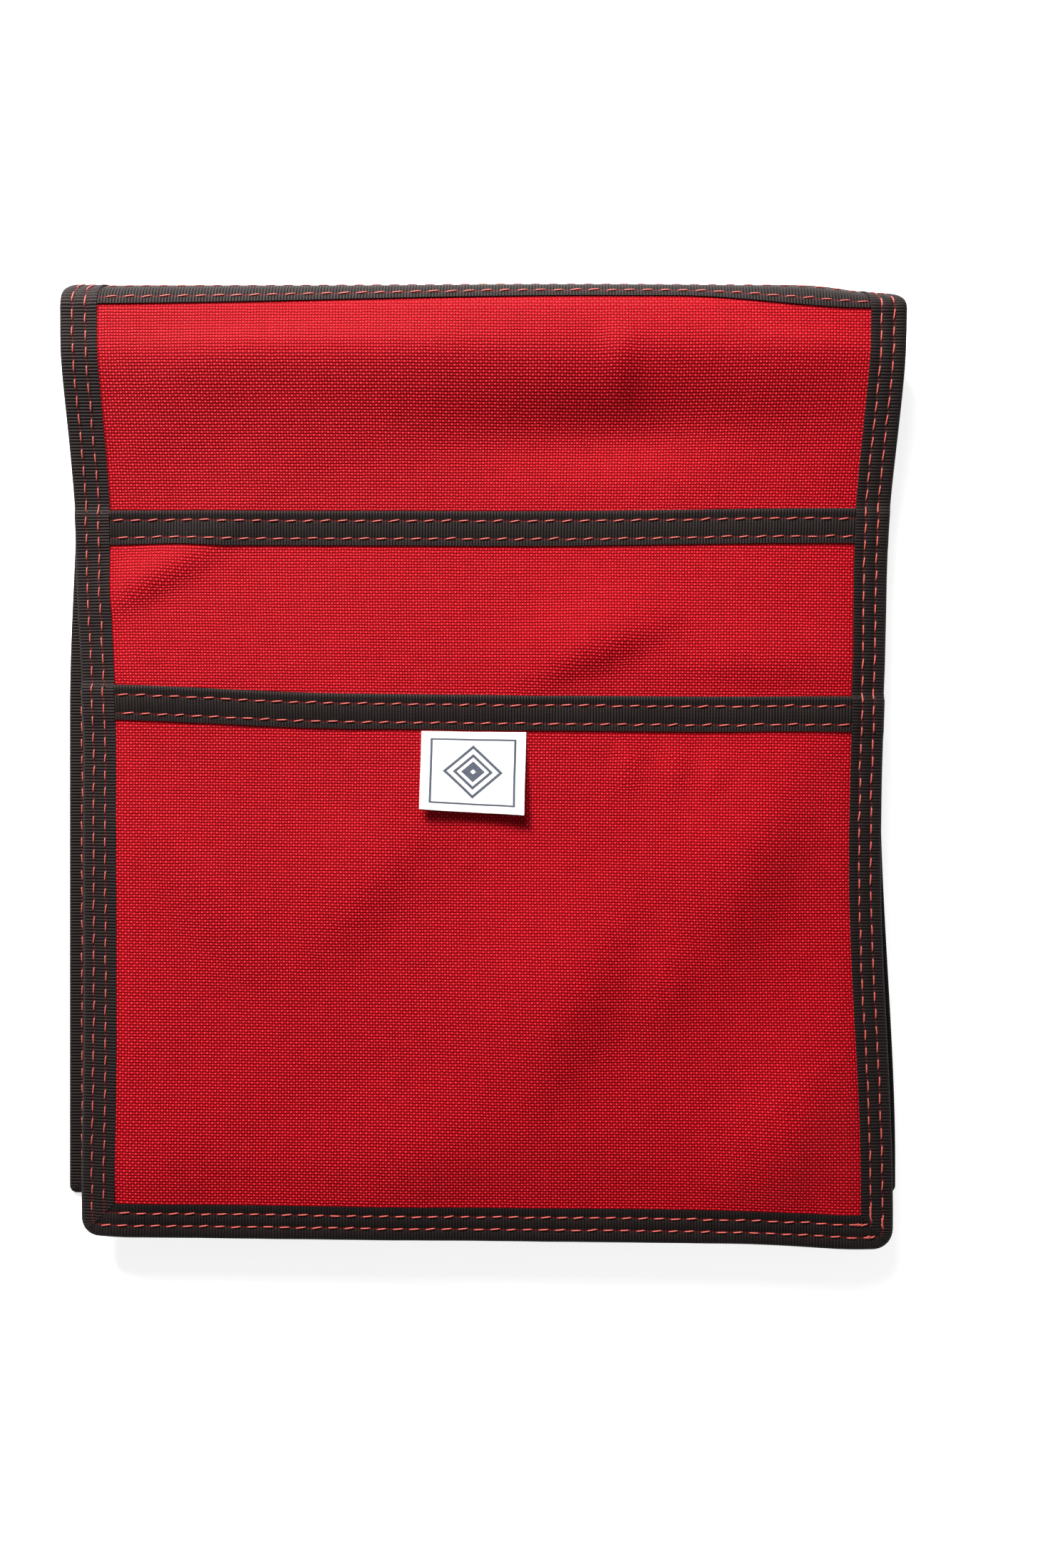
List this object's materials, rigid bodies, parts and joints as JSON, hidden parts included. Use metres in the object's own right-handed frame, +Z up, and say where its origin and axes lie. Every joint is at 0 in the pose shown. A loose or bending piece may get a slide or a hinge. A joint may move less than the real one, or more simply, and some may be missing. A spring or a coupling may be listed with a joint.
{
  "type": "fire blanket",
  "caption": "Fire blanket stowed in a soft red carrier: a bound sheet folded in two, with nested front pockets, an inner sleeve and pull tapes.",
  "frame": {"origin": "on the surface that the carrier lies on, below the middle of its box", "axes": "+X across the carrier, +Y towards the fold, +Z up out of the front leaf"},
  "size_m": [0.298, 0.3417, 0.0221],
  "materials": {
    "red_cloth": "coated plain-woven nylon, low sheen",
    "binding_tape": "matt ribbed grosgrain tape",
    "thread": "bonded lockstitch thread, soft sheen",
    "glass_cloth": "woven glass fibre, satin",
    "webbing": "matt woven webbing",
    "label_cloth": "fine woven satin label"
  },
  "bodies": {
    "back_leaf": {"back_panel": "red_cloth", "back_left_binding": "binding_tape", "back_right_binding": "binding_tape", "back_bottom_binding": "binding_tape", "back_binding_stitches": "thread", "sleeve_gusset": "red_cloth", "sleeve_roof": "red_cloth", "sleeve_mouth_binding": "binding_tape", "sleeve_stitches": "thread"},
    "front_leaf": {"front_panel": "red_cloth", "deep_pocket_panel": "red_cloth", "deep_pocket_band": "binding_tape", "middle_pocket_panel": "red_cloth", "middle_pocket_band": "binding_tape", "short_pocket_panel": "red_cloth", "short_pocket_band": "binding_tape", "front_left_binding": "binding_tape", "front_right_binding": "binding_tape", "front_bottom_binding": "binding_tape", "front_binding_stitches": "thread", "band_stitches": "thread"},
    "label": {"label": "label_cloth"},
    "blanket": {"folded_blanket": "glass_cloth", "left_pull_tape": "webbing", "right_pull_tape": "webbing"}
  },
  "joints": [
    {"name": "leaf_fold", "type": "hinge", "parent": "back_leaf", "child": "front_leaf", "pos_m": [0, 0.171, 0.011], "axis": [-1, 0, 0], "range_deg": [0, 180]},
    {"name": "blanket_pull", "type": "slide", "parent": "back_leaf", "child": "blanket", "axis": [0, -1, 0], "range_m": [0, 0.26]},
    {"name": "label_lift", "type": "hinge", "parent": "front_leaf", "child": "label", "pos_m": [0, 0.01165, 0.0157], "axis": [-1, 0, 0], "range_deg": [0, 120]}
  ]
}
